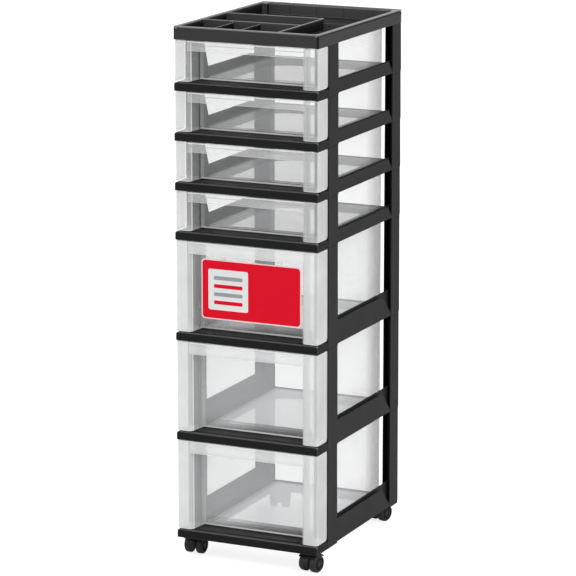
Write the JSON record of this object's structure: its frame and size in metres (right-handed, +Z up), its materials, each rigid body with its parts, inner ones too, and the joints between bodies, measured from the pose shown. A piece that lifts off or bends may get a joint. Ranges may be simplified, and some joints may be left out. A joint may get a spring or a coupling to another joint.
{
  "type": "rolling drawer tower",
  "caption": "Tall black plastic tower of clear pull-out drawers, shallow ones over deep ones, with an organizer tray on top and swivel casters below.",
  "frame": {"origin": "on the floor under the middle of the tower's bounding box", "axes": "+Z up, drawer fronts face -Y, +X to the right seen from the front"},
  "size_m": [0.306, 0.4248, 1.067],
  "materials": {
    "black_tray": "fine satin",
    "black_shelf": "fine satin",
    "black_frame": "fine satin",
    "clear_drawer": "clear, frosted at the front pillars and the handle",
    "card": "coated card",
    "black_caster": "moulded nylon",
    "black_wheel": "hard tread",
    "steel": "zinc plated"
  },
  "bodies": {
    "tower": {"top_tray": "black_tray", "shelf_1": "black_shelf", "shelf_2": "black_shelf", "shelf_3": "black_shelf", "shelf_4": "black_shelf", "shelf_5": "black_shelf", "shelf_6": "black_shelf", "base_shelf": "black_shelf", "left_frame_1": "black_frame", "left_frame_2": "black_frame", "left_frame_3": "black_frame", "left_frame_4": "black_frame", "left_frame_5": "black_frame", "left_frame_6": "black_frame", "left_frame_7": "black_frame", "right_frame_1": "black_frame", "right_frame_2": "black_frame", "right_frame_3": "black_frame", "right_frame_4": "black_frame", "right_frame_5": "black_frame", "right_frame_6": "black_frame", "right_frame_7": "black_frame", "caster_fl_stem": "steel", "caster_fr_stem": "steel", "caster_rl_stem": "steel", "caster_rr_stem": "steel"},
    "drawer_1_body": {"drawer_1": "clear_drawer"},
    "drawer_2_body": {"drawer_2": "clear_drawer"},
    "drawer_3_body": {"drawer_3": "clear_drawer"},
    "drawer_4_body": {"drawer_4": "clear_drawer"},
    "drawer_5_body": {"drawer_5": "clear_drawer", "display_card": "card"},
    "drawer_6_body": {"drawer_6": "clear_drawer"},
    "drawer_7_body": {"drawer_7": "clear_drawer"},
    "caster_fl": {"caster_fl_hood": "black_caster", "caster_fl_axle": "steel"},
    "caster_fl_wheel_in_body": {"caster_fl_wheel_in": "black_wheel"},
    "caster_fl_wheel_out_body": {"caster_fl_wheel_out": "black_wheel"},
    "caster_fr": {"caster_fr_hood": "black_caster", "caster_fr_axle": "steel"},
    "caster_fr_wheel_in_body": {"caster_fr_wheel_in": "black_wheel"},
    "caster_fr_wheel_out_body": {"caster_fr_wheel_out": "black_wheel"},
    "caster_rl": {"caster_rl_hood": "black_caster", "caster_rl_axle": "steel"},
    "caster_rl_wheel_in_body": {"caster_rl_wheel_in": "black_wheel"},
    "caster_rl_wheel_out_body": {"caster_rl_wheel_out": "black_wheel"},
    "caster_rr": {"caster_rr_hood": "black_caster", "caster_rr_axle": "steel"},
    "caster_rr_wheel_in_body": {"caster_rr_wheel_in": "black_wheel"},
    "caster_rr_wheel_out_body": {"caster_rr_wheel_out": "black_wheel"}
  },
  "joints": [
    {"name": "drawer_1_slide", "type": "slide", "parent": "tower", "child": "drawer_1_body", "axis": [0, -1, 0], "range_m": [0, 0.25]},
    {"name": "drawer_2_slide", "type": "slide", "parent": "tower", "child": "drawer_2_body", "axis": [0, -1, 0], "range_m": [0, 0.25]},
    {"name": "drawer_3_slide", "type": "slide", "parent": "tower", "child": "drawer_3_body", "axis": [0, -1, 0], "range_m": [0, 0.25]},
    {"name": "drawer_4_slide", "type": "slide", "parent": "tower", "child": "drawer_4_body", "axis": [0, -1, 0], "range_m": [0, 0.25]},
    {"name": "drawer_5_slide", "type": "slide", "parent": "tower", "child": "drawer_5_body", "axis": [0, -1, 0], "range_m": [0, 0.25]},
    {"name": "drawer_6_slide", "type": "slide", "parent": "tower", "child": "drawer_6_body", "axis": [0, -1, 0], "range_m": [0, 0.25]},
    {"name": "drawer_7_slide", "type": "slide", "parent": "tower", "child": "drawer_7_body", "axis": [0, -1, 0], "range_m": [0, 0.25]},
    {"name": "caster_fl_swivel", "type": "hinge", "parent": "tower", "child": "caster_fl", "pos_m": [-0.131, -0.18042, 0.034], "axis": [0, 0, 1], "continuous": true},
    {"name": "caster_fl_in_spin", "type": "hinge", "parent": "caster_fl", "child": "caster_fl_wheel_in_body", "pos_m": [-0.131, -0.17242, 0.018], "axis": [1, 0, 0], "continuous": true},
    {"name": "caster_fl_out_spin", "type": "hinge", "parent": "caster_fl", "child": "caster_fl_wheel_out_body", "pos_m": [-0.131, -0.17242, 0.018], "axis": [1, 0, 0], "continuous": true},
    {"name": "caster_fr_swivel", "type": "hinge", "parent": "tower", "child": "caster_fr", "pos_m": [0.131, -0.18042, 0.034], "axis": [0, 0, 1], "continuous": true},
    {"name": "caster_fr_in_spin", "type": "hinge", "parent": "caster_fr", "child": "caster_fr_wheel_in_body", "pos_m": [0.12934, -0.18825, 0.018], "axis": [-0.9781, 0.2079, 0], "continuous": true},
    {"name": "caster_fr_out_spin", "type": "hinge", "parent": "caster_fr", "child": "caster_fr_wheel_out_body", "pos_m": [0.12934, -0.18825, 0.018], "axis": [-0.9781, 0.2079, 0], "continuous": true},
    {"name": "caster_rl_swivel", "type": "hinge", "parent": "tower", "child": "caster_rl", "pos_m": [-0.112, 0.18258, 0.034], "axis": [0, 0, 1], "continuous": true},
    {"name": "caster_rl_in_spin", "type": "hinge", "parent": "caster_rl", "child": "caster_rl_wheel_in_body", "pos_m": [-0.11366, 0.1904, 0.018], "axis": [0.9781, 0.2079, 0], "continuous": true},
    {"name": "caster_rl_out_spin", "type": "hinge", "parent": "caster_rl", "child": "caster_rl_wheel_out_body", "pos_m": [-0.11366, 0.1904, 0.018], "axis": [0.9781, 0.2079, 0], "continuous": true},
    {"name": "caster_rr_swivel", "type": "hinge", "parent": "tower", "child": "caster_rr", "pos_m": [0.112, 0.18258, 0.034], "axis": [0, 0, 1], "continuous": true},
    {"name": "caster_rr_in_spin", "type": "hinge", "parent": "caster_rr", "child": "caster_rr_wheel_in_body", "pos_m": [0.1146, 0.19014, 0.018], "axis": [0.9455, -0.3256, 0], "continuous": true},
    {"name": "caster_rr_out_spin", "type": "hinge", "parent": "caster_rr", "child": "caster_rr_wheel_out_body", "pos_m": [0.1146, 0.19014, 0.018], "axis": [0.9455, -0.3256, 0], "continuous": true}
  ]
}
